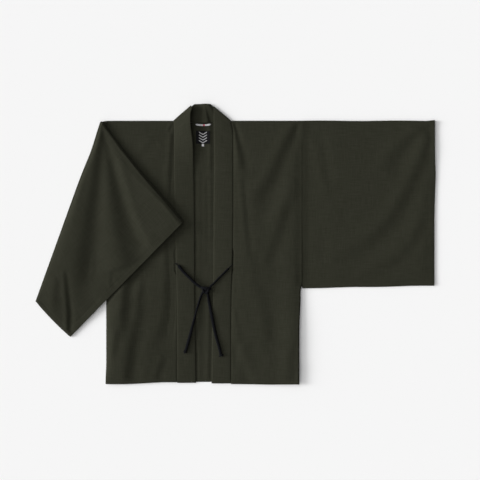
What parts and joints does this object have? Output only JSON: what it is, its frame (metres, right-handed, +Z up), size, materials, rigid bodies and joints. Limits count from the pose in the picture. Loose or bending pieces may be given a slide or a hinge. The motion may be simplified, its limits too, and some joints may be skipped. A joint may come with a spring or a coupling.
{
  "type": "hanten jacket",
  "caption": "Straight-cut dark wool hanten jacket laid flat and face up, with wide sleeves, one of them folded over the front, a long collar band and a tied cord.",
  "frame": {"origin": "middle of the jacket's footprint, on the surface that it lies on", "axes": "+X towards the wearer's left, the spread sleeve's cuff; +Y towards the neck; +Z up from the surface, out of the garment's front"},
  "size_m": [1.2368, 0.8648, 0.0146],
  "materials": {
    "wool_cloth": "matt dark olive-grey wool in a fine plain weave",
    "braided_cord": "black braided cord with a low sheen",
    "woven_label": "smooth black woven label with pale woven lines",
    "woven_tape": "white woven tape"
  },
  "bodies": {
    "root": {"back": "wool_cloth", "front_right": "wool_cloth", "front_left": "wool_cloth", "collar": "wool_cloth", "sleeve_right": "wool_cloth", "sleeve_left": "wool_cloth", "neck_label": "woven_label", "size_tab": "woven_tape", "hanging_loop": "woven_tape", "tie_loop_right": "braided_cord", "tie_loop_left": "braided_cord", "tie_right": "braided_cord", "tie_left": "braided_cord", "tie_knot": "braided_cord", "tie_tail_right": "braided_cord", "tie_tail_left": "braided_cord", "tie_end_right": "braided_cord", "tie_end_left": "braided_cord"}
  },
  "joints": []
}
